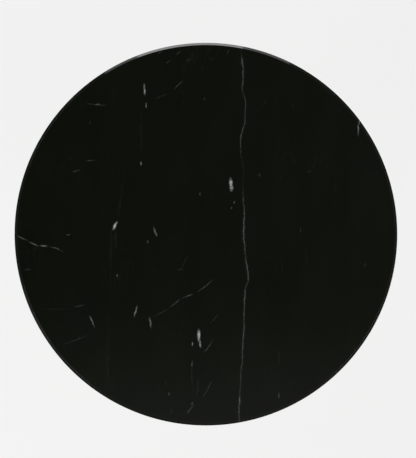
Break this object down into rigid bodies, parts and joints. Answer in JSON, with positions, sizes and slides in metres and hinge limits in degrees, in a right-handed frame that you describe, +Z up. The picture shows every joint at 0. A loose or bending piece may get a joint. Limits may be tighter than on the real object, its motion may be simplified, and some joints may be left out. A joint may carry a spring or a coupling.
{
  "type": "round pedestal table",
  "caption": "Round pedestal table with a bevelled black marble top on a weighted trumpet-foot column with levelling glides.",
  "frame": {"origin": "on the floor, under the centre of the round top", "axes": "+Z up, along the column; the collar's grub screw faces +Y, the back"},
  "size_m": [0.9, 0.9, 0.74],
  "materials": {
    "marble": "polished",
    "plywood": "satin",
    "black_powder_coat": "satin",
    "brushed_steel": "satin",
    "zinc_steel": "satin",
    "cast_iron": "matte",
    "brass": "satin",
    "nylon": "matte"
  },
  "bodies": {
    "table": {"marble_top": "marble", "plywood_subtop": "plywood", "mounting_plate": "black_powder_coat", "plate_screw_1": "zinc_steel", "plate_screw_2": "zinc_steel", "plate_screw_3": "zinc_steel", "plate_screw_4": "zinc_steel", "plate_screw_5": "zinc_steel", "plate_screw_6": "zinc_steel", "plate_washer_1": "zinc_steel", "plate_washer_2": "zinc_steel", "plate_washer_3": "zinc_steel", "plate_washer_4": "zinc_steel", "plate_washer_5": "zinc_steel", "plate_washer_6": "zinc_steel", "threaded_insert_1": "brass", "threaded_insert_2": "brass", "threaded_insert_3": "brass", "threaded_insert_4": "brass", "threaded_insert_5": "brass", "threaded_insert_6": "brass", "flange_screw_1": "zinc_steel", "flange_screw_2": "zinc_steel", "flange_screw_3": "zinc_steel", "flange_screw_4": "zinc_steel", "head_casting": "black_powder_coat", "column_tube": "black_powder_coat", "collar_ring": "brushed_steel", "collar_grub_screw": "zinc_steel", "base_cover": "black_powder_coat", "base_weight": "cast_iron", "tie_rod": "zinc_steel", "tie_rod_top_washer": "zinc_steel", "tie_rod_top_nut": "zinc_steel", "tie_rod_bottom_washer": "zinc_steel", "tie_rod_bottom_nut": "zinc_steel"},
    "pad_1": {"glide_pad_1": "nylon"},
    "stem_1": {"glide_stem_1": "zinc_steel"},
    "pad_2": {"glide_pad_2": "nylon"},
    "stem_2": {"glide_stem_2": "zinc_steel"},
    "pad_3": {"glide_pad_3": "nylon"},
    "stem_3": {"glide_stem_3": "zinc_steel"},
    "pad_4": {"glide_pad_4": "nylon"},
    "stem_4": {"glide_stem_4": "zinc_steel"}
  },
  "joints": [
    {"name": "glide_1_travel", "type": "slide", "parent": "table", "child": "pad_1", "axis": [0, 0, -1], "range_m": [0, 0.008]},
    {"name": "glide_1_turn", "type": "hinge", "parent": "pad_1", "child": "stem_1", "pos_m": [0.13435, 0.13435, 0.013], "axis": [0, 0, -1], "range_deg": [0, 1920]},
    {"name": "glide_2_travel", "type": "slide", "parent": "table", "child": "pad_2", "axis": [0, 0, -1], "range_m": [0, 0.008]},
    {"name": "glide_2_turn", "type": "hinge", "parent": "pad_2", "child": "stem_2", "pos_m": [-0.13435, 0.13435, 0.013], "axis": [0, 0, -1], "range_deg": [0, 1920]},
    {"name": "glide_3_travel", "type": "slide", "parent": "table", "child": "pad_3", "axis": [0, 0, -1], "range_m": [0, 0.008]},
    {"name": "glide_3_turn", "type": "hinge", "parent": "pad_3", "child": "stem_3", "pos_m": [-0.13435, -0.13435, 0.013], "axis": [0, 0, -1], "range_deg": [0, 1920]},
    {"name": "glide_4_travel", "type": "slide", "parent": "table", "child": "pad_4", "axis": [0, 0, -1], "range_m": [0, 0.008]},
    {"name": "glide_4_turn", "type": "hinge", "parent": "pad_4", "child": "stem_4", "pos_m": [0.13435, -0.13435, 0.013], "axis": [0, 0, -1], "range_deg": [0, 1920]}
  ],
  "couplings": [
    {"joint": "glide_1_turn", "follows": "glide_1_travel", "rad_per_m": 4188.8},
    {"joint": "glide_2_turn", "follows": "glide_2_travel", "rad_per_m": 4188.8},
    {"joint": "glide_3_turn", "follows": "glide_3_travel", "rad_per_m": 4188.8},
    {"joint": "glide_4_turn", "follows": "glide_4_travel", "rad_per_m": 4188.8}
  ]
}
